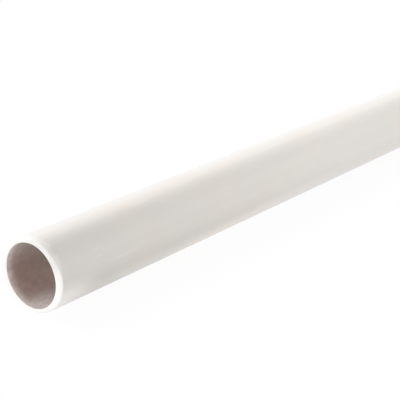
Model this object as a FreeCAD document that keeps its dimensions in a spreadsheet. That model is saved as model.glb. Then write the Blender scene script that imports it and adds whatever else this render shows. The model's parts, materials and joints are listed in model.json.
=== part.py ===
import FreeCAD, Part
import math
import os
import Sketcher

# A straight length of rigid round conduit, as it lies on the floor of a store or a van.
# It is one extrusion: a round wall of even thickness, sawn square to length at both ends
# and then deburred, so that each end has a rounded outer lip that slides into a coupler
# and a small bevel inside the mouth that lets cables be drawn through without a cut.
# +X runs along the conduit, +Z is up, and the origin is midway along the line on which it rests.

SIZES = [
    ("stock_length", 2000.0, "length as sold, from cut face to cut face"),
    ("outer_diameter", 20.0, "outside, the size that the conduit is named by"),
    ("wall_thickness", 1.35, "of the extruded wall"),
    ("lip_radius", 0.4, "rounding of the outer edge at each end"),
    ("mouth_bevel", 0.12, "leg of the 45 degree bevel on the inner edge at each end"),
]


def write_sizes(doc):
    """Puts the driving sizes into the document's sheet, one row each, with an alias."""
    sheet = doc.addObject("Spreadsheet::Sheet", "Sizes")
    for row, (alias, size, meaning) in enumerate(SIZES, start=1):
        sheet.set(f"A{row}", alias)
        sheet.set(f"B{row}", str(size))
        sheet.set(f"C{row}", meaning)
        sheet.setAlias(f"B{row}", alias)
    doc.recompute()
    return sheet


def origin_plane(body, role):
    """The body's own origin plane with this role, such as YZ_Plane."""
    return next(plane for plane in body.Origin.OriginFeatures if plane.Role == role)


def circle_on_axis(sketch, name, diameter):
    """Adds a circle about the conduit's axis, which is half the outer diameter above the floor."""
    circle = sketch.addGeometry(Part.Circle(), False)
    sketch.addConstraint(Sketcher.Constraint("PointOnObject", circle, 3, -2))
    height = sketch.addConstraint(Sketcher.Constraint("DistanceY", -1, 1, circle, 3, 1.0))
    sketch.renameConstraint(height, f"{name}_axis_height")
    sketch.setExpression(f"Constraints.{name}_axis_height", "Sizes.outer_diameter / 2")
    size = sketch.addConstraint(Sketcher.Constraint("Diameter", circle, 1.0))
    sketch.renameConstraint(size, f"{name}_diameter")
    sketch.setExpression(f"Constraints.{name}_diameter", diameter)


def extruded_wall(doc, body):
    """The round wall, extruded both ways from the middle of the conduit."""
    section = body.newObject("Sketcher::SketchObject", "WallSection")
    section.AttachmentSupport = (origin_plane(body, "YZ_Plane"), [""])
    section.MapMode = "FlatFace"
    circle_on_axis(section, "outside", "Sizes.outer_diameter")
    circle_on_axis(section, "bore", "Sizes.outer_diameter - 2 * Sizes.wall_thickness")
    wall = body.newObject("PartDesign::Pad", "ExtrudedWall")
    wall.Profile = section
    wall.SideType = "Symmetric"
    wall.setExpression("Length", "Sizes.stock_length")
    doc.recompute()
    return wall


def end_edges(shape, diameter):
    """Names of the round edges of this diameter, one at each sawn end."""
    found = []
    for number, edge in enumerate(shape.Edges, start=1):
        if isinstance(edge.Curve, Part.Circle) and math.isclose(2 * edge.Curve.Radius, diameter):
            found.append(f"Edge{number}")
    return found


def rounded_lips(doc, body, wall, sheet):
    """Rounds the outer edge of both ends."""
    lips = body.newObject("PartDesign::Fillet", "RoundedLips")
    lips.Base = (wall, end_edges(wall.Shape, sheet.outer_diameter))
    lips.setExpression("Radius", "Sizes.lip_radius")
    doc.recompute()
    return lips


def bevelled_mouths(doc, body, lips, sheet):
    """Takes the burr off the bore's edge at both ends."""
    bore_diameter = sheet.outer_diameter - 2 * sheet.wall_thickness
    mouths = body.newObject("PartDesign::Chamfer", "BevelledMouths")
    mouths.Base = (lips, end_edges(lips.Shape, bore_diameter))
    mouths.setExpression("Size", "Sizes.mouth_bevel")
    doc.recompute()
    return mouths


def conduit_pipe(doc, sheet):
    """The whole conduit: wall, rounded lips and bevelled mouths, in one body."""
    body = doc.addObject("PartDesign::Body", "ConduitPipe")
    body.Label = "conduit_pipe"
    wall = extruded_wall(doc, body)
    lips = rounded_lips(doc, body, wall, sheet)
    mouths = bevelled_mouths(doc, body, lips, sheet)
    body.Tip = mouths
    return body


def check(doc, pieces):
    """Stops if a feature failed, or if a piece isn't one valid solid."""
    for item in doc.Objects:
        if "Invalid" in item.State or "Error" in item.State:
            raise RuntimeError(f"{item.Label} failed: {item.State}")
    for piece in pieces:
        shape = piece.Shape
        if shape.isNull() or not shape.isValid() or len(shape.Solids) != 1:
            raise RuntimeError(f"{piece.Label} is not one valid solid")


def export(pieces):
    """Writes each piece to parts/, in a file named by its label."""
    os.makedirs("parts", exist_ok=True)
    for piece in pieces:
        piece.Shape.exportStep(f"parts/{piece.Label}.step")
        box = piece.Shape.optimalBoundingBox()
        print(
            f"{piece.Label}: {box.XLength:.2f} x {box.YLength:.2f} x {box.ZLength:.2f} mm, "
            f"lowest at z = {box.ZMin:.3f}, {piece.Shape.Volume:.1f} mm3"
        )


def main():
    doc = FreeCAD.newDocument("ConduitPipe")
    sheet = write_sizes(doc)
    pieces = [conduit_pipe(doc, sheet)]
    doc.recompute()
    check(doc, pieces)
    export(pieces)


main()
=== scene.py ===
# %% [markdown]
# # A length of white electrical conduit
#
# Rigid conduit is one extrusion: soft PVC leaves a ring-shaped die, cools in a water bath and
# is sawn to length. It has no other parts, so a convincing picture of it rests on three things:
# a round wall that stays smooth close up, ends that look cut and deburred, and a satin skin.
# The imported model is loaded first, because every later size and place is read from it.

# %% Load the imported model
import json
import math

import bpy
from mathutils import Matrix, Vector


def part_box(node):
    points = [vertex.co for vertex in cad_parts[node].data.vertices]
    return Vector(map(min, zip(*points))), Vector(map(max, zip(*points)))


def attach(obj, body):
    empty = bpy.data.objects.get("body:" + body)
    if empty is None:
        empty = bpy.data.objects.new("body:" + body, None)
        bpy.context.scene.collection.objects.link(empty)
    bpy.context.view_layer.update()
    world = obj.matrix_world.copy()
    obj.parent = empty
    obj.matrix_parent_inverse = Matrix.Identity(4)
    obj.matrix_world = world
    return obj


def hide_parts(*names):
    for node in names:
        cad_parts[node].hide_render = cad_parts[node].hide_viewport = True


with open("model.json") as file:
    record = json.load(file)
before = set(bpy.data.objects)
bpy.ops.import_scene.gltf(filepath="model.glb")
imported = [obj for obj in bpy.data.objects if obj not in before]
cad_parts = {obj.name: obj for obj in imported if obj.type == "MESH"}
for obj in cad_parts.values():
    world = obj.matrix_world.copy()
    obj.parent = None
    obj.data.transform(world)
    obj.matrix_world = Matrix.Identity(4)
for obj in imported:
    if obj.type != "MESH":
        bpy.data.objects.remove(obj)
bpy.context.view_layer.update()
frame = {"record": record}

# %% [markdown]
# ## Sizes
#
# The record lists the places where a coupler or a cable meets the conduit, with their radii and
# lengths. The outer wall is stated between the two eased edges and the bore between the two
# bevels, so the small sizes at the ends follow by subtraction. Reading them here, and not
# typing them again, keeps the dressed pipe exactly on the model that the checks measured.

# %% Read the sizes, in metres
NODE = "conduit_pipe"
MM = 0.001
mounts = {mount["name"]: mount for mount in frame["record"]["mounts"]}
spigot = mounts["near_spigot"]["dims"]
bore = mounts["cable_bore"]["dims"]

low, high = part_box(NODE)
LENGTH = high[0] - low[0]
NEAR_X = low[0]
FAR_X = high[0]
OUTER_R = spigot["r_mm"] * MM
BORE_R = bore["r_mm"] * MM
LIP = (LENGTH - spigot["length_mm"] * MM) / 2
BEVEL = (LENGTH - bore["length_mm"] * MM) / 2
AXIS = Vector(((NEAR_X + FAR_X) / 2, 0, OUTER_R))
print(f"length {LENGTH:.4f}, outer r {OUTER_R:.4f}, bore r {BORE_R:.5f}")
print(f"lip {LIP:.5f}, bevel {BEVEL:.5f}")

# %% [markdown]
# ## Camera
#
# The photograph is a close view with a long lens, looking down a little, with the pipe running
# off to the upper right. The angles and the distance come from fitting a camera to the pipe's
# two long edges and to the round mouth. They are kept as a heading, a pitch and the place of the
# mouth before the lens, counted in outer radii, because those are what a photographer would set.

# %% Place the camera
PICTURE_PIXELS = 400
FOCAL_PIXELS = 1182.0
SENSOR_MM = 36.0
PITCH = math.radians(19.83)
PIPE_TO_THE_RIGHT = math.radians(38.39)
MOUTH_RIGHT, MOUTH_DOWN, MOUTH_AHEAD = -4.177, 1.877, 29.11
NEAREST_SEEN = 0.01


def camera_axes(heading, pitch):
    """The unit vectors right, up and forward of a level camera that is pitched down."""
    level = Vector((math.cos(heading), math.sin(heading), 0))
    forward = level * math.cos(pitch) - Vector((0, 0, math.sin(pitch)))
    right = level.cross(Vector((0, 0, 1))).normalized()
    return right, right.cross(forward), forward


right, up, forward = camera_axes(PIPE_TO_THE_RIGHT, PITCH)
mouth = Vector((NEAR_X, 0, OUTER_R))
offset = (right * MOUTH_RIGHT - up * MOUTH_DOWN + forward * MOUTH_AHEAD) * OUTER_R

camera_data = bpy.data.cameras.new("camera")
camera_data.sensor_width = SENSOR_MM
camera_data.lens = FOCAL_PIXELS / PICTURE_PIXELS * SENSOR_MM
camera_data.clip_start = NEAREST_SEEN
camera = bpy.data.objects.new("camera", camera_data)
turn_of_camera = Matrix((right, up, -forward)).transposed().to_4x4()
camera.matrix_world = Matrix.Translation(mouth - offset) @ turn_of_camera
bpy.context.scene.collection.objects.link(camera)
bpy.context.scene.camera = camera
place_of_camera = tuple(round(v, 4) for v in camera.location)
print(f"camera at {place_of_camera}, lens {camera_data.lens:.1f} mm")

# %% [markdown]
# ## Room
#
# The pipe lies on a white table that is lit from below, in an even white room. A real studio
# burns both out to white. Here the table and the sky are told to look white to the camera and in
# reflections, through the Light Path node, while they light the pipe at a plain level. A share
# of the table's own shading is kept, so that the pipe still leaves a faint shadow. The glow from
# below matters: it keeps the underside of the tube as light as its top. The sky's light fades out
# behind the pipe, where a lamp takes over, or the back of a white pipe would burn out too.

# %% Node helpers
def tree_of(owner):
    """The emptied node tree of a material or a world."""
    owner.use_nodes = True
    owner.node_tree.nodes.clear()
    return owner.node_tree


def add(tree, kind, settings=None, **inputs):
    """Adds a node. Settings are its properties, each input is a value or a socket to link."""
    node = tree.nodes.new(kind)
    for name, value in (settings or {}).items():
        setattr(node, name, value)
    for name, value in inputs.items():
        plug(tree, node, name.replace("_", " "), value)
    return node


def plug(tree, node, name, value):
    """Sets one input of a node, by its name or number, to a value or another node's socket."""
    socket = node.inputs[name]
    if isinstance(value, bpy.types.NodeSocket):
        tree.links.new(value, socket)
    else:
        socket.default_value = value


def maths(tree, operation, *values, clamp=False):
    """A Math node's result."""
    node = tree.nodes.new("ShaderNodeMath")
    node.operation, node.use_clamp = operation, clamp
    for number, value in enumerate(values):
        plug(tree, node, number, value)
    return node.outputs[0]


def ramp(tree, value, low, high, bottom=0.0, top=1.0):
    """Value carried softly from the range low to high over to bottom to top, held beyond it."""
    shape = {"interpolation_type": "SMOOTHSTEP"}
    ends = {"From_Min": low, "From_Max": high, "To_Min": bottom, "To_Max": top}
    return add(tree, "ShaderNodeMapRange", shape, Value=value, **ends).outputs[0]


def mixed_shaders(tree, share, first, second):
    """One shader carried over to another by a share from 0 to 1."""
    node = tree.nodes.new("ShaderNodeMixShader")
    for number, value in enumerate((share, first, second)):
        plug(tree, node, number, value)
    return node.outputs[0]


def seen_rays(tree):
    """1 for rays that show the surroundings: from the camera, in gloss and through glass."""
    path = tree.nodes.new("ShaderNodeLightPath")
    direct = maths(tree, "ADD", path.outputs["Is Camera Ray"], path.outputs["Is Glossy Ray"])
    return maths(tree, "ADD", direct, path.outputs["Is Transmission Ray"], clamp=True)


# %% White sky
SKY_LEVEL = 0.81
FADE_FROM, FADE_TO = -0.04, 0.55
WHITE = (1, 1, 1, 1)

world = bpy.data.worlds.new("white_room")
bpy.context.scene.world = world
tree = tree_of(world)
coming_from = tree.nodes.new("ShaderNodeTexCoord").outputs["Generated"]
behind = add(tree, "ShaderNodeSeparateXYZ", Vector=coming_from).outputs["Y"]
fade = ramp(tree, behind, FADE_FROM, FADE_TO, SKY_LEVEL, 0.0)
fill = add(tree, "ShaderNodeBackground", Color=WHITE, Strength=fade).outputs[0]
shown = add(tree, "ShaderNodeBackground", Color=WHITE, Strength=1.0).outputs[0]
add(tree, "ShaderNodeOutputWorld", Surface=mixed_shaders(tree, seen_rays(tree), fill, shown))
print("sky level", SKY_LEVEL)

# %% White table
TABLE_HALF = 40.0
TABLE_TONE = (0.9, 0.9, 0.9, 1)
GLOW_SEEN = 0.94
GLOW_FELT = 0.75
GLOW_LEVEL = 0.85

table_mesh = bpy.data.meshes.new("light_table")
corner_signs = ((-1, -1), (1, -1), (1, 1), (-1, 1))
corners = [(x * TABLE_HALF, y * TABLE_HALF, 0) for x, y in corner_signs]
table_mesh.from_pydata(corners, [], [(0, 1, 2, 3)])
table = bpy.data.objects.new("light_table", table_mesh)
bpy.context.scene.collection.objects.link(table)

acrylic = bpy.data.materials.new("table_acrylic")
tree = tree_of(acrylic)
seen = seen_rays(tree)
share = add(tree, "ShaderNodeMapRange", Value=seen, To_Min=GLOW_FELT, To_Max=GLOW_SEEN)
level = add(tree, "ShaderNodeMapRange", Value=seen, To_Min=GLOW_LEVEL, To_Max=1.0)
shaded = add(tree, "ShaderNodeBsdfDiffuse", Color=TABLE_TONE).outputs[0]
glow = add(tree, "ShaderNodeEmission", Color=WHITE, Strength=level.outputs[0]).outputs[0]
table_mix = mixed_shaders(tree, share.outputs[0], shaded, glow)
add(tree, "ShaderNodeOutputMaterial", Surface=table_mix)
table_mesh.materials.append(acrylic)
print("table glows at", GLOW_LEVEL, "from below")

# %% [markdown]
# ## Lamps
#
# Two broad lamps shape the tube. One stands behind it and lights the top edge, which melts into
# the white behind. The other stands beyond the open end and lifts the sawn ring above the wall.
# Both are suns with a wide angle: they light all two metres alike, with no bright patch.

# %% Make the lamps
PI = math.pi


def soft_sun(name, level, azimuth, elevation, spread):
    """A wide sun. Level is what a white surface that faces it shows.

    The azimuth is counted from +X towards +Y. It and the others are in degrees.
    """
    data = bpy.data.lights.new(name, "SUN")
    data.energy = level * PI
    data.angle = math.radians(spread)
    lamp = bpy.data.objects.new(name, data)
    a, e = math.radians(azimuth), math.radians(elevation)
    towards = Vector((math.cos(a) * math.cos(e), math.sin(a) * math.cos(e), math.sin(e)))
    lamp.rotation_mode = "QUATERNION"
    lamp.rotation_quaternion = towards.to_track_quat("Z", "Y")
    bpy.context.scene.collection.objects.link(lamp)
    print(name, "at level", level)


soft_sun("back_lamp", level=0.87, azimuth=90, elevation=40, spread=56)
soft_sun("end_lamp", level=0.42, azimuth=190, elevation=12, spread=50)

# %% [markdown]
# ## The wall's outline
#
# Cut the pipe along its axis and the wall shows as a long thin strip: a straight outside, an
# eased outer edge, the sawn face, a small bevel and the straight bore. The outer edge is eased
# with a knife that is pushed round by hand, and a knife digs in more on one side than on the
# other. So the outline is a function of the place around the axis. Its rows are (x, radius).
# The knife's depth is counted in lips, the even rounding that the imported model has.

# %% Outline of the wall
BEND_STEPS = 5
SPANS = 16
SKIN, SAWN, BORE = 0, 1, 2
KNIFE_SIDE = math.radians(210)
KNIFE_MISSES, KNIFE_DIGS = 0.1, 0.9
LEAST_DROP, ADDED_DROP = 0.5, 1.5
LEAST_REACH, ADDED_REACH = 0.7, 1.7
BEND_FROM_WALL, BEND_ONTO_SLOPE = 1.35, 0.35
BEND_OFF_SLOPE, BEND_TO_FACE = 0.7, 1.25


def knife_bite(a):
    """How deep the knife went at this place around the axis, from 0 to 1, softly between."""
    share = (math.cos(a - KNIFE_SIDE) - KNIFE_MISSES) / (KNIFE_DIGS - KNIFE_MISSES)
    share = min(max(share, 0), 1)
    return share * share * (3 - 2 * share)


def between(start, end, share):
    """The point that lies this share of the way from one point to another."""
    return tuple(s + (e - s) * share for s, e in zip(start, end))


def bend(before, corner, after):
    """A soft bend that leaves one line and joins the next, in place of their sharp corner."""
    shares = [step / BEND_STEPS for step in range(BEND_STEPS + 1)]
    return [between(between(before, corner, t), between(corner, after, t), t) for t in shares]


def near_end_outline(a):
    """Points from the outer wall over the eased edge, across the face and into the bore."""
    bite = knife_bite(a)
    drop = LIP * (LEAST_DROP + ADDED_DROP * bite)
    reach = LIP * (LEAST_REACH + ADDED_REACH * bite)
    wall_corner = (NEAR_X + reach, OUTER_R)
    face_corner = (NEAR_X, OUTER_R - drop)
    on_wall = (NEAR_X + BEND_FROM_WALL * reach, OUTER_R)
    upper_slope = between(wall_corner, face_corner, BEND_ONTO_SLOPE)
    lower_slope = between(wall_corner, face_corner, BEND_OFF_SLOPE)
    on_face = (NEAR_X, OUTER_R - BEND_TO_FACE * drop)
    points = bend(on_wall, wall_corner, upper_slope) + bend(lower_slope, face_corner, on_face)
    return points + [(NEAR_X, BORE_R + BEVEL), (NEAR_X + BEVEL, BORE_R)]


def outline(a):
    """The closed outline at this place around the axis. The far end is the near end, turned."""
    near = near_end_outline(a)
    far = [(NEAR_X + FAR_X - x, r) for x, r in reversed(near_end_outline(PI - a))]
    inside = [between(near[-1], far[0], n / SPANS) for n in range(1, SPANS)]
    outside = [between(far[-1], near[0], n / SPANS) for n in range(1, SPANS)]
    return near + inside + far + outside


END_ROWS = len(near_end_outline(0)) - 1
finish_of_row = [SAWN] * END_ROWS + [BORE] * SPANS + [SAWN] * END_ROWS + [SKIN] * SPANS
print(len(outline(0)), "rows in the outline")

# %% [markdown]
# ## Turning the outline
#
# Blender's Screw modifier or a Spin would turn a fixed outline. This one changes on its way
# round, so a direct loop is shorter. The ring has enough sides that no flat shows on the
# silhouette when the camera is a hand's width away.

# %% Turn the outline into a mesh
SIDES = 192
SHARP_ABOVE = math.radians(35)


def turned(name, finishes):
    """A ring of faces for each pair of neighbouring rows, the last row joined to the first."""
    angles = [2 * PI * side / SIDES for side in range(SIDES)]
    columns = [outline(a) for a in angles]
    rows = len(finishes)
    verts = []
    for row in range(rows):
        for a, column in zip(angles, columns):
            x, radius = column[row]
            verts.append((x, radius * math.cos(a), OUTER_R + radius * math.sin(a)))
    faces = []
    for row in range(rows):
        here, there = row * SIDES, (row + 1) % rows * SIDES
        for side in range(SIDES):
            beside = (side + 1) % SIDES
            faces.append((here + side, here + beside, there + beside, there + side))
    mesh = bpy.data.meshes.new(name)
    mesh.from_pydata(verts, [], faces)
    mesh.polygons.foreach_set("material_index", [f for f in finishes for _ in range(SIDES)])
    mesh.polygons.foreach_set("use_smooth", [True] * len(faces))
    mesh.update()
    return mesh


mesh = turned("conduit_wall", finish_of_row)
mesh.set_sharp_from_angle(angle=SHARP_ABOVE)
pipe = bpy.data.objects.new("conduit_wall", mesh)
bpy.context.scene.collection.objects.link(pipe)
print(len(mesh.polygons), "faces")

# %% [markdown]
# ## A map for the bake
#
# For a bake of the finish to one square picture, an automatic unwrap would give this long thin
# tube a few pixels across. So the wall is unrolled and cut in four lengths, laid as bands one
# above the other: four for the outside and four thinner ones for the bore, which nobody sees
# along most of its length. The two sawn ends lie flat beside each other above the bands.

# %% Lay out the map
STRIPS = 4
MARGIN = 0.006
SKIN_BAND = 0.125
BORE_BAND = 0.05
END_PATCH = 0.21
STRIP_LENGTH = LENGTH / STRIPS
CORNERS_ON_NEXT_SIDE = (1, 2)


def patch_place(co, near):
    """Where a point of a sawn end lands: the end seen straight on, in a patch of its own."""
    scale = END_PATCH / 2 / OUTER_R
    centre_u = MARGIN + END_PATCH / 2 if near else 3 * MARGIN + 1.5 * END_PATCH
    centre_v = 1 - MARGIN - END_PATCH / 2
    return centre_u + (co.y - AXIS.y) * scale, centre_v + (co.z - AXIS.z) * scale


def band_place(co, turn, strip, finish):
    """Where a point of the wall lands in its band. Turn goes from 0 to 1 around the axis."""
    height = SKIN_BAND if finish == SKIN else BORE_BAND
    first = MARGIN if finish == SKIN else MARGIN + STRIPS * (SKIN_BAND + MARGIN)
    along = (co.x - NEAR_X - strip * STRIP_LENGTH) / STRIP_LENGTH
    u = MARGIN + (1 - 2 * MARGIN) * min(max(along, 0), 1)
    return u, first + strip * (height + MARGIN) + height * turn


uv = mesh.uv_layers.new(name="OFBake")
places = []
for face in mesh.polygons:
    row, side = divmod(face.index, SIDES)
    finish = face.material_index
    strip = min(int((face.center.x - NEAR_X) / STRIP_LENGTH), STRIPS - 1)
    for number, corner in enumerate(face.vertices):
        co = mesh.vertices[corner].co
        turn = (side + (number in CORNERS_ON_NEXT_SIDE)) / SIDES
        if finish == SAWN:
            places += patch_place(co, row < END_ROWS)
        else:
            places += band_place(co, turn, strip, finish)
uv.data.foreach_set("uv", places)
print("map laid out for", len(mesh.polygons), "faces")

# %% [markdown]
# ## Shared effects
#
# All three finishes are the same PVC, so they share what the material does everywhere. Each
# effect is a node group that gives back plain values, and each finish decides what to do with
# them. The first group only tells where a point lies: how far it is from the nearer cut, its
# place around the axis, and how squarely it faces the sides where wear, painted light and painted
# shade are placed, which are given in degrees from +Y upwards, as seen at the near end.
# Both ends get the same marks, turned half way round; for the wear, because one hand and one saw
# made it. Only the warm side, whose back is painted neutral for the highlight, is the same along
# the whole pipe. From here on, a pair that is named after two things, such as WARM_TO_COOL, is
# the range over which the first turns into the second. Depths and distances are in metres.

# %% Helpers for groups
VALUE = "NodeSocketFloat"
VECTOR = "NodeSocketVector"
COLOUR_MIX_INPUTS = (0, 6, 7)
COLOUR_MIX_RESULT = 2


def new_group(name, **outputs):
    """An empty shader node group with these outputs, and its output node."""
    tree = bpy.data.node_groups.new(name, "ShaderNodeTree")
    for label, kind in outputs.items():
        tree.interface.new_socket(name=label.replace("_", " "), in_out="OUTPUT", socket_type=kind)
    return tree, tree.nodes.new("NodeGroupOutput")


def use_group(tree, group):
    """Places a group in a tree and returns its outputs."""
    return add(tree, "ShaderNodeGroup", {"node_tree": group}).outputs


def vector_maths(tree, operation, *values):
    """A Vector Math node."""
    node = tree.nodes.new("ShaderNodeVectorMath")
    node.operation = operation
    for number, value in enumerate(values):
        plug(tree, node, number, value)
    return node


def noise(tree, place, along, across, detail=2.0):
    """Noise of about 0.5, with this many features a metre along the pipe and across it."""
    vector = vector_maths(tree, "MULTIPLY", place, (along, across, across)).outputs[0]
    return add(tree, "ShaderNodeTexNoise", Vector=vector, Scale=1.0, Detail=detail).outputs[0]


def swing(tree, value, amount):
    """A tone about 1 that follows a noise about 0.5 by this amount."""
    return maths(tree, "MULTIPLY_ADD", value, amount, 1 - amount / 2)


def product(tree, *values):
    """All the values multiplied together."""
    total = values[0]
    for value in values[1:]:
        total = maths(tree, "MULTIPLY", total, value)
    return total


def blend(tree, share, first, second):
    """One colour carried over to another by a share from 0 to 1.

    The Mix node has a set of sockets for each kind of value, so the colours' are numbered.
    """
    node = tree.nodes.new("ShaderNodeMix")
    node.data_type = "RGBA"
    for number, value in zip(COLOUR_MIX_INPUTS, (share, first, second)):
        plug(tree, node, number, value)
    return node.outputs[COLOUR_MIX_RESULT]


def toned(tree, colour, tone):
    """A colour made lighter or darker by a tone about 1."""
    node = vector_maths(tree, "SCALE", colour)
    plug(tree, node, "Scale", tone)
    return node.outputs[0]


def facing(tree, outward, degrees):
    """How squarely a direction across the pipe faces the side at these degrees around its axis."""
    angle = math.radians(degrees)
    side = (0, math.cos(angle), math.sin(angle))
    return vector_maths(tree, "DOT_PRODUCT", outward, side).outputs["Value"]


# %% Group: where a point lies
# Sides that place painted light and shade: the first the darker skin near the ends, with grime;
# the second a darker sawn face; the third paler skin, face and bore floor, with scraping and
# sawdust; the last two the bore's painted shade.
MARKED_SIDES = {"Endshade": 170, "Faceshade": 124, "Paler": 240, "Boreshade": 335, "Dim": 318}
# The side that faces this keeps the warm white; the back is painted neutral, for the highlight
# along the top.
WARM_SIDE = 175

measures = ("From_the_cut", "Around", "Upward", *MARKED_SIDES, "Warmside")
place_outputs = {"Centred": VECTOR, **dict.fromkeys(measures, VALUE)}
place_group, out = new_group("place_on_the_pipe", **place_outputs)
tree = place_group
coordinates = tree.nodes.new("ShaderNodeTexCoord").outputs["Object"]
centred = vector_maths(tree, "SUBTRACT", coordinates, tuple(AXIS)).outputs[0]
parts = add(tree, "ShaderNodeSeparateXYZ", Vector=centred).outputs
from_the_cut = maths(tree, "SUBTRACT", LENGTH / 2, maths(tree, "ABSOLUTE", parts[0]))
turned_round = product(tree, parts[1], maths(tree, "SIGN", parts[0]), -1.0)
across = add(tree, "ShaderNodeCombineXYZ", Y=turned_round, Z=parts[2]).outputs[0]
outward = vector_maths(tree, "NORMALIZE", across).outputs[0]
sides = add(tree, "ShaderNodeSeparateXYZ", Vector=outward).outputs
not_turned = vector_maths(tree, "MULTIPLY", centred, (0, 1, 1)).outputs[0]
as_it_lies = vector_maths(tree, "NORMALIZE", not_turned).outputs[0]
plug(tree, out, "Centred", centred)
plug(tree, out, "From the cut", from_the_cut)
plug(tree, out, "Around", maths(tree, "ARCTAN2", sides[2], sides[1]))
plug(tree, out, "Upward", sides[2])
for label, degrees in MARKED_SIDES.items():
    plug(tree, out, label, facing(tree, outward, degrees))
plug(tree, out, "Warmside", facing(tree, as_it_lies, WARM_SIDE))
print("place group:", len(tree.nodes), "nodes")

# %% [markdown]
# ## Die lines
#
# The core of the die hangs from a few thin legs. The soft PVC parts round each leg and knits
# again behind it, which leaves broad, faint bands that run the whole length, evenly spaced round
# the wall: a cosine of the place around the axis. Finer lines come from scratches in the die, and
# noise that is stretched about two hundredfold along the pipe gives those: bands a few
# millimetres apart, which tint the skin, and hairlines, which catch the gloss. Clouds and a fine
# mottle with little direction are added, the mottle for the bore, where dust makes it speckled.

# %% Group: die lines
DIE_LEGS = 5
FIRST_LEG = math.radians(198)
WELD_FOCUS = 1.6

die_outputs = dict.fromkeys(("Welds", "Bands", "Hairlines", "Clouds", "Mottle"), VALUE)
die_group, out = new_group("die_lines", **die_outputs)
tree = die_group
place = use_group(tree, place_group)
centred = place["Centred"]
turn = maths(tree, "MULTIPLY_ADD", place["Around"], DIE_LEGS, -DIE_LEGS * FIRST_LEG)
wave = maths(tree, "MULTIPLY_ADD", maths(tree, "COSINE", turn), 0.5, 0.5)
plug(tree, out, "Welds", maths(tree, "POWER", wave, WELD_FOCUS))
plug(tree, out, "Bands", noise(tree, centred, along=1.6, across=260.0))
plug(tree, out, "Hairlines", noise(tree, centred, along=7.0, across=1500.0, detail=3.0))
plug(tree, out, "Clouds", noise(tree, centred, along=45.0, across=70.0, detail=4.0))
plug(tree, out, "Mottle", noise(tree, centred, along=500.0, across=800.0, detail=3.0))
print("die group:", len(tree.nodes), "nodes")

# %% [markdown]
# ## Wear and painted shade near the cuts
#
# Stock is carried, gripped and sawn near its ends. There the skin is a shade greyer, handling
# grime and painted shade, most of all along the weld bands, which hold the dirt, and on the side
# that faces -Y. The grey fades out over about a hand's width, and sooner but darker on the
# underside, where the painted shade is deepest. Next to the cut the skin is paler again: thinly
# all round, where the knife has been, and broadly on the lower side, where the paler skin is
# painted light from below. Sliding over other lengths in the rack leaves short pale scuffs.

# %% Group: wear and painted light
WANDER = 0.03
# Reach and depth of the painted shade and grime near the ends.
UNDER_TO_ABOVE_REACH, SHADE_REACH = (-0.6, -0.2), (0.062, 0.128)
UNDERSIDE_TO_SIDE, DARKER_UNDER = (-0.78, -0.4), 1.85
AWAY_TO_ENDSHADE, LEAST_ENDSHADE = (0.1, 0.6), 0.5
CLEAR_OF_WELD, WELD_HOLDS = 0.9, 0.3
PATCHY, RAGGED = 0.3, 0.004
# Where the paler border next to the cut lies: knife scraping, and painted light from below.
EDGE_TO_PALER = (0.55, 1.12)
BROAD_BORDER, NARROW_BORDER = (0.003, 0.019), (0.0032, 0.0048)
NARROW_SHARE = 0.28
SCUFF_MARKS, SCUFF_PLACES = (0.62, 0.74), (0.5, 0.62)

wear_and_light_group, out = new_group("wear_and_light", Handled=VALUE, Scraped=VALUE, Scuffed=VALUE)
tree = wear_and_light_group
place = use_group(tree, place_group)
uneven = noise(tree, place["Centred"], along=60.0, across=90.0, detail=3.0)
wander = maths(tree, "MULTIPLY_ADD", uneven, WANDER, -WANDER / 2)
shade_reach = ramp(tree, place["Upward"], *UNDER_TO_ABOVE_REACH, *SHADE_REACH)
darker_under = ramp(tree, place["Upward"], *UNDERSIDE_TO_SIDE, DARKER_UNDER, 1.0)
faded = maths(tree, "DIVIDE", maths(tree, "ADD", place["From the cut"], wander), shade_reach)
near_cut = maths(tree, "SUBTRACT", 1.0, faded, clamp=True)
endshade_side = ramp(tree, place["Endshade"], *AWAY_TO_ENDSHADE, LEAST_ENDSHADE, 1.0)
welds = use_group(tree, die_group)["Welds"]
welded = maths(tree, "MULTIPLY_ADD", welds, WELD_HOLDS, CLEAR_OF_WELD)
# Darker skin near the ends: handling grime and painted shade.
plug(tree, out, "Handled", product(tree, near_cut, endshade_side, darker_under, welded))

# Paler skin next to the cut: knife scraping, and painted light from below on the lower side.
ragged = noise(tree, place["Centred"], along=200.0, across=260.0, detail=3.0)
paler_patchy = maths(tree, "MULTIPLY_ADD", uneven, PATCHY, place["Paler"])
border = maths(tree, "MULTIPLY_ADD", ragged, RAGGED, place["From the cut"])
paler_side = ramp(tree, paler_patchy, *EDGE_TO_PALER)
broad = product(tree, paler_side, ramp(tree, border, *BROAD_BORDER, 1.0, 0.0))
narrow = ramp(tree, border, *NARROW_BORDER, NARROW_SHARE, 0.0)
plug(tree, out, "Scraped", maths(tree, "MAXIMUM", broad, narrow))

marks = noise(tree, place["Centred"], along=60.0, across=900.0, detail=3.0)
where = noise(tree, place["Centred"], along=9.0, across=60.0)
scuffs = product(tree, ramp(tree, marks, *SCUFF_MARKS), ramp(tree, where, *SCUFF_PLACES))
plug(tree, out, "Scuffed", scuffs)
print("wear group:", len(tree.nodes), "nodes")

# %% [markdown]
# ## Saw marks
#
# A fine-toothed saw crosses the wall in straight strokes and leaves shallow lines that all run
# one way, whatever the wall does. The lines are noise again, squeezed across the stroke.

# %% Group: saw marks
SAW_STROKE = math.radians(62)
SQUEEZE = (400.0, 150.0, 3200.0)

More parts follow.
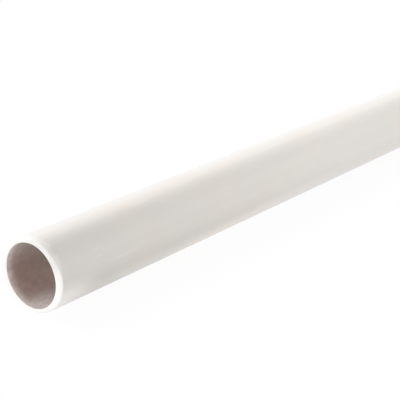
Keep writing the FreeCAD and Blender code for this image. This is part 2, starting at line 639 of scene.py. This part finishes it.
saw_group, out = new_group("saw_marks", Strokes=VALUE, Grain=VALUE)
tree = saw_group
centred = use_group(tree, place_group)["Centred"]
about_the_axis = {"rotation_type": "X_AXIS"}
stroke = add(tree, "ShaderNodeVectorRotate", about_the_axis, Vector=centred, Angle=SAW_STROKE)
squeezed = vector_maths(tree, "MULTIPLY", stroke.outputs[0], SQUEEZE).outputs[0]
strokes = add(tree, "ShaderNodeTexNoise", Vector=squeezed, Scale=1.0, Detail=2.0).outputs[0]
plug(tree, out, "Strokes", strokes)
plug(tree, out, "Grain", noise(tree, centred, along=2500.0, across=2500.0, detail=3.0))
print("saw group:", len(tree.nodes), "nodes")

# %% [markdown]
# ## Satin skin
#
# The outside cooled against a polished sleeve and has a low, even gloss. Two close shades of warm
# white, blended by the clouds, keep it from looking like paint. They are kept on the side that
# faces -Y, and the back is painted a near-neutral white, which stands in for the whitened
# highlight along the top. The tones above are multiplied together, with the painted shade near
# the ends among them, and the paler border next to the cut, which is partly painted light, and
# the scuffs go back to the clean, chalky PVC underneath.

# %% Satin skin
PVC_WARM = (0.804, 0.754, 0.701, 1)
PVC_COOL = (0.777, 0.750, 0.713, 1)
# A near-neutral white painted on the back, standing in for the highlight along the top.
PVC_HIGHLIGHT_WHITE = (0.772, 0.760, 0.745, 1)
# The clean cut PVC, also used as painted light next to the cut.
CHALKY_AND_LIT = (0.94, 0.91, 0.88, 1)
# How dark the painted shade and grime near the ends make the skin.
DARKENED_TONE = 0.82
CLEAR_TONE, WELD_GREY = 1.01, 0.045
SKIN_SWINGS = {"Bands": 0.10, "Hairlines": 0.04, "Clouds": 0.08}
WARM_TO_COOL, HIGHLIGHT_TO_WARM = (0.4, 0.6), (-0.25, 0.25)
SCUFF_SHARE, SCUFF_DENT = 0.25, -0.5
SATIN, ADDED_WHERE_BARE, ADDED_NEAR_ENDS, ADDED_BY_CLOUDS = 0.29, 0.25, 0.06, 0.06


def bumped(tree, height, depth, strength):
    """A normal from a height of about 0 to 1, where 1 stands for this depth in metres."""
    bump = add(tree, "ShaderNodeBump", Height=height, Distance=depth, Strength=strength)
    return bump.outputs[0]


def finish_material(name):
    """A new material with its tree and its Principled shader, already wired to the output."""
    material = bpy.data.materials.new(name)
    tree = tree_of(material)
    shader = tree.nodes.new("ShaderNodeBsdfPrincipled")
    add(tree, "ShaderNodeOutputMaterial", Surface=shader.outputs[0])
    return material, tree, shader


satin_skin, tree, shader = finish_material("satin_skin")
lines = use_group(tree, die_group)
wear_and_light = use_group(tree, wear_and_light_group)
# The back is painted a neutral white, which stands in for the highlight along the top.
clouded_pvc = blend(tree, ramp(tree, lines["Clouds"], *WARM_TO_COOL), PVC_WARM, PVC_COOL)
warm_side = use_group(tree, place_group)["Warmside"]
pvc = blend(tree, ramp(tree, warm_side, *HIGHLIGHT_TO_WARM), PVC_HIGHLIGHT_WHITE, clouded_pvc)
# This tone holds the painted shade near the ends, with some grime.
tone = product(
    tree,
    maths(tree, "MULTIPLY_ADD", lines["Welds"], -WELD_GREY, CLEAR_TONE),
    *[swing(tree, lines[label], amount) for label, amount in SKIN_SWINGS.items()],
    maths(tree, "MULTIPLY_ADD", wear_and_light["Handled"], DARKENED_TONE - 1, 1.0),
)
# The paler border next to the cut is partly painted light; the scuffs are wear.
scuffed = maths(tree, "MULTIPLY", wear_and_light["Scuffed"], SCUFF_SHARE)
bare_and_lit = maths(tree, "MAXIMUM", wear_and_light["Scraped"], scuffed)
plug(tree, shader, "Base Color", blend(tree, bare_and_lit, toned(tree, pvc, tone), CHALKY_AND_LIT))
dull = maths(tree, "MULTIPLY_ADD", bare_and_lit, ADDED_WHERE_BARE, SATIN)
dull = maths(tree, "MULTIPLY_ADD", wear_and_light["Handled"], ADDED_NEAR_ENDS, dull)
dull = maths(tree, "MULTIPLY_ADD", lines["Clouds"], ADDED_BY_CLOUDS, dull)
plug(tree, shader, "Roughness", dull)
relief = maths(tree, "MULTIPLY_ADD", wear_and_light["Scuffed"], SCUFF_DENT, lines["Hairlines"])
plug(tree, shader, "Normal", bumped(tree, relief, depth=0.00003, strength=0.25))
print("satin skin:", len(tree.nodes), "nodes")

# %% [markdown]
# ## Sawn face
#
# Cut PVC is chalky: the saw and the knife tear its surface into fine white crumbs that scatter
# the light, so it is paler than the skin and has hardly any gloss. On its lower side it is
# painted lighter, painted light from below, and on the upper side towards -Y it is painted a
# little darker, painted shade.

# %% Sawn face
SAWN_CLEAN = (0.89, 0.875, 0.855, 1)
# Painted light for the lower side of the face, and painted shade for its upper side.
SAWN_PAINTED_LIGHT = (0.95, 0.94, 0.92, 1)
SAWN_PAINTED_SHADE = (0.79, 0.765, 0.74, 1)
CLEAN_TO_SHADED, CLEAN_TO_LIT = (0.7, 0.95), (0.3, 0.9)
SAWN_SWINGS = {"Strokes": 0.10, "Grain": 0.06}
CHALK_ROUGHNESS, GRAIN_ROUGHNESS = 0.5, 0.2
GRAIN_RELIEF = 0.5

sawn_face, tree, shader = finish_material("sawn_face")
place = use_group(tree, place_group)
saw = use_group(tree, saw_group)
# Painted shade on the upper side of the face, painted light on its lower side.
crumbs_lit_and_shaded = blend(tree, ramp(tree, place["Faceshade"], *CLEAN_TO_SHADED), SAWN_CLEAN, SAWN_PAINTED_SHADE)
crumbs_lit_and_shaded = blend(tree, ramp(tree, place["Paler"], *CLEAN_TO_LIT), crumbs_lit_and_shaded, SAWN_PAINTED_LIGHT)
tone = product(tree, *[swing(tree, saw[label], amount) for label, amount in SAWN_SWINGS.items()])
plug(tree, shader, "Base Color", toned(tree, crumbs_lit_and_shaded, tone))
chalky = maths(tree, "MULTIPLY_ADD", saw["Grain"], GRAIN_ROUGHNESS, CHALK_ROUGHNESS)
plug(tree, shader, "Roughness", chalky)
relief = maths(tree, "MULTIPLY_ADD", saw["Grain"], GRAIN_RELIEF, saw["Strokes"])
plug(tree, shader, "Normal", bumped(tree, relief, depth=0.00004, strength=0.5))
print("sawn face:", len(tree.nodes), "nodes")

# %% [markdown]
# ## Bore skin
#
# Inside, the PVC cooled in the open, so it is duller, and it looks brown rather than grey: light
# that has bounced about in there, or has come through the wall, has lost its blue. A shader can
# only follow so many bounces, so this brown shade is painted into the colour: painted shade and
# painted bounce light. The painted shade is deepest just behind the mouth and on one side, and
# further in it lingers a little lower down. A thin pale ring at the mouth and a pale drift along
# the lower side, thickest a little way in, are sawdust and painted light that falls in there.

# %% Bore skin
# Painted shade and painted bounce light for the bore, darkest just behind the mouth.
BORE_DARKEST_SHADE = (0.41, 0.295, 0.268, 1)
BORE_MOUTH_SHADE = (0.62, 0.545, 0.495, 1)
BORE_INNER_SHADE = (0.66, 0.56, 0.51, 1)
BORE_INNER_LIGHT = (0.80, 0.725, 0.675, 1)
# Sawdust and painted light, for the ring at the mouth and the drift along the bore's floor.
SAWDUST_AND_LIGHT = (0.95, 0.88, 0.86, 1)
MOUTH_TO_DARKEST_SHADE, INNER_LIGHT_TO_SHADE = (0.5, 1.0), (0.5, 0.95)
MOUTH_TO_INSIDE = (0.004, 0.019)
SMOOTH_TO_SPECKLED = (0.3, 0.7)
BORE_SWING, SPECKLED_PALE, CLOUDED_DRIFT = 0.12, 0.5, 0.3
MOUTH_TO_CLEAN, SIDE_TO_SWEPT, PALE_RING_LEFT = (0.0, 0.003), (0.5, 1.0), (0.58, 0.3)
EDGE_TO_DRIFT = (0.5, 1.0)
DRIFT_BEGINS, DRIFT_AT_MOUTH = (0.0, 0.0055), 0.3
DRIFT_THINS, DRIFT_INSIDE = (0.006, 0.024), 0.25
DULL_BORE, DULLER_DUST = 0.42, 0.3

bore_skin, tree, shader = finish_material("bore_skin")
place = use_group(tree, place_group)
lines = use_group(tree, die_group)
depth = place["From the cut"]
# The bore's colours are painted shade and painted bounce light.
mouth_shade = blend(tree, ramp(tree, place["Boreshade"], *MOUTH_TO_DARKEST_SHADE), BORE_MOUTH_SHADE, BORE_DARKEST_SHADE)
inner_shade = blend(tree, ramp(tree, place["Dim"], *INNER_LIGHT_TO_SHADE), BORE_INNER_LIGHT, BORE_INNER_SHADE)
shaded_wall = blend(tree, ramp(tree, depth, *MOUTH_TO_INSIDE), mouth_shade, inner_shade)
speckle = ramp(tree, lines["Mottle"], *SMOOTH_TO_SPECKLED)
mottled = (lines["Bands"], lines["Clouds"], speckle)
tone = product(tree, *[swing(tree, value, BORE_SWING) for value in mottled])
# The pale mouth ring and the drift along the floor are sawdust and painted light.
left_at_mouth = ramp(tree, place["Paler"], *SIDE_TO_SWEPT, *PALE_RING_LEFT)
at_mouth = product(tree, left_at_mouth, ramp(tree, depth, *MOUTH_TO_CLEAN, 1.0, 0.0))
lit_dust_drift = product(
    tree,
    ramp(tree, place["Paler"], *EDGE_TO_DRIFT),
    ramp(tree, depth, *DRIFT_BEGINS, DRIFT_AT_MOUTH, 1.0),
    ramp(tree, depth, *DRIFT_THINS, 1.0, DRIFT_INSIDE),
    swing(tree, lines["Clouds"], CLOUDED_DRIFT),
)
paler_share = maths(tree, "MAXIMUM", at_mouth, lit_dust_drift)
dust_and_light = maths(tree, "MULTIPLY", paler_share, swing(tree, speckle, SPECKLED_PALE), clamp=True)
plug(tree, shader, "Base Color", blend(tree, dust_and_light, toned(tree, shaded_wall, tone), SAWDUST_AND_LIGHT))
plug(tree, shader, "Roughness", maths(tree, "MULTIPLY_ADD", dust_and_light, DULLER_DUST, DULL_BORE))
plug(tree, shader, "Normal", bumped(tree, lines["Hairlines"], depth=0.00004, strength=0.4))
print("bore skin:", len(tree.nodes), "nodes")

# %% [markdown]
# ## Hand over
#
# The mesh rides on the model's only body and takes the place of its only node.

# %% Join the pipe to the model and finish
for material in (satin_skin, sawn_face, bore_skin):
    mesh.materials.append(material)
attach(pipe, "root")
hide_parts(NODE)

bpy.context.scene.view_settings.view_transform = "Standard"
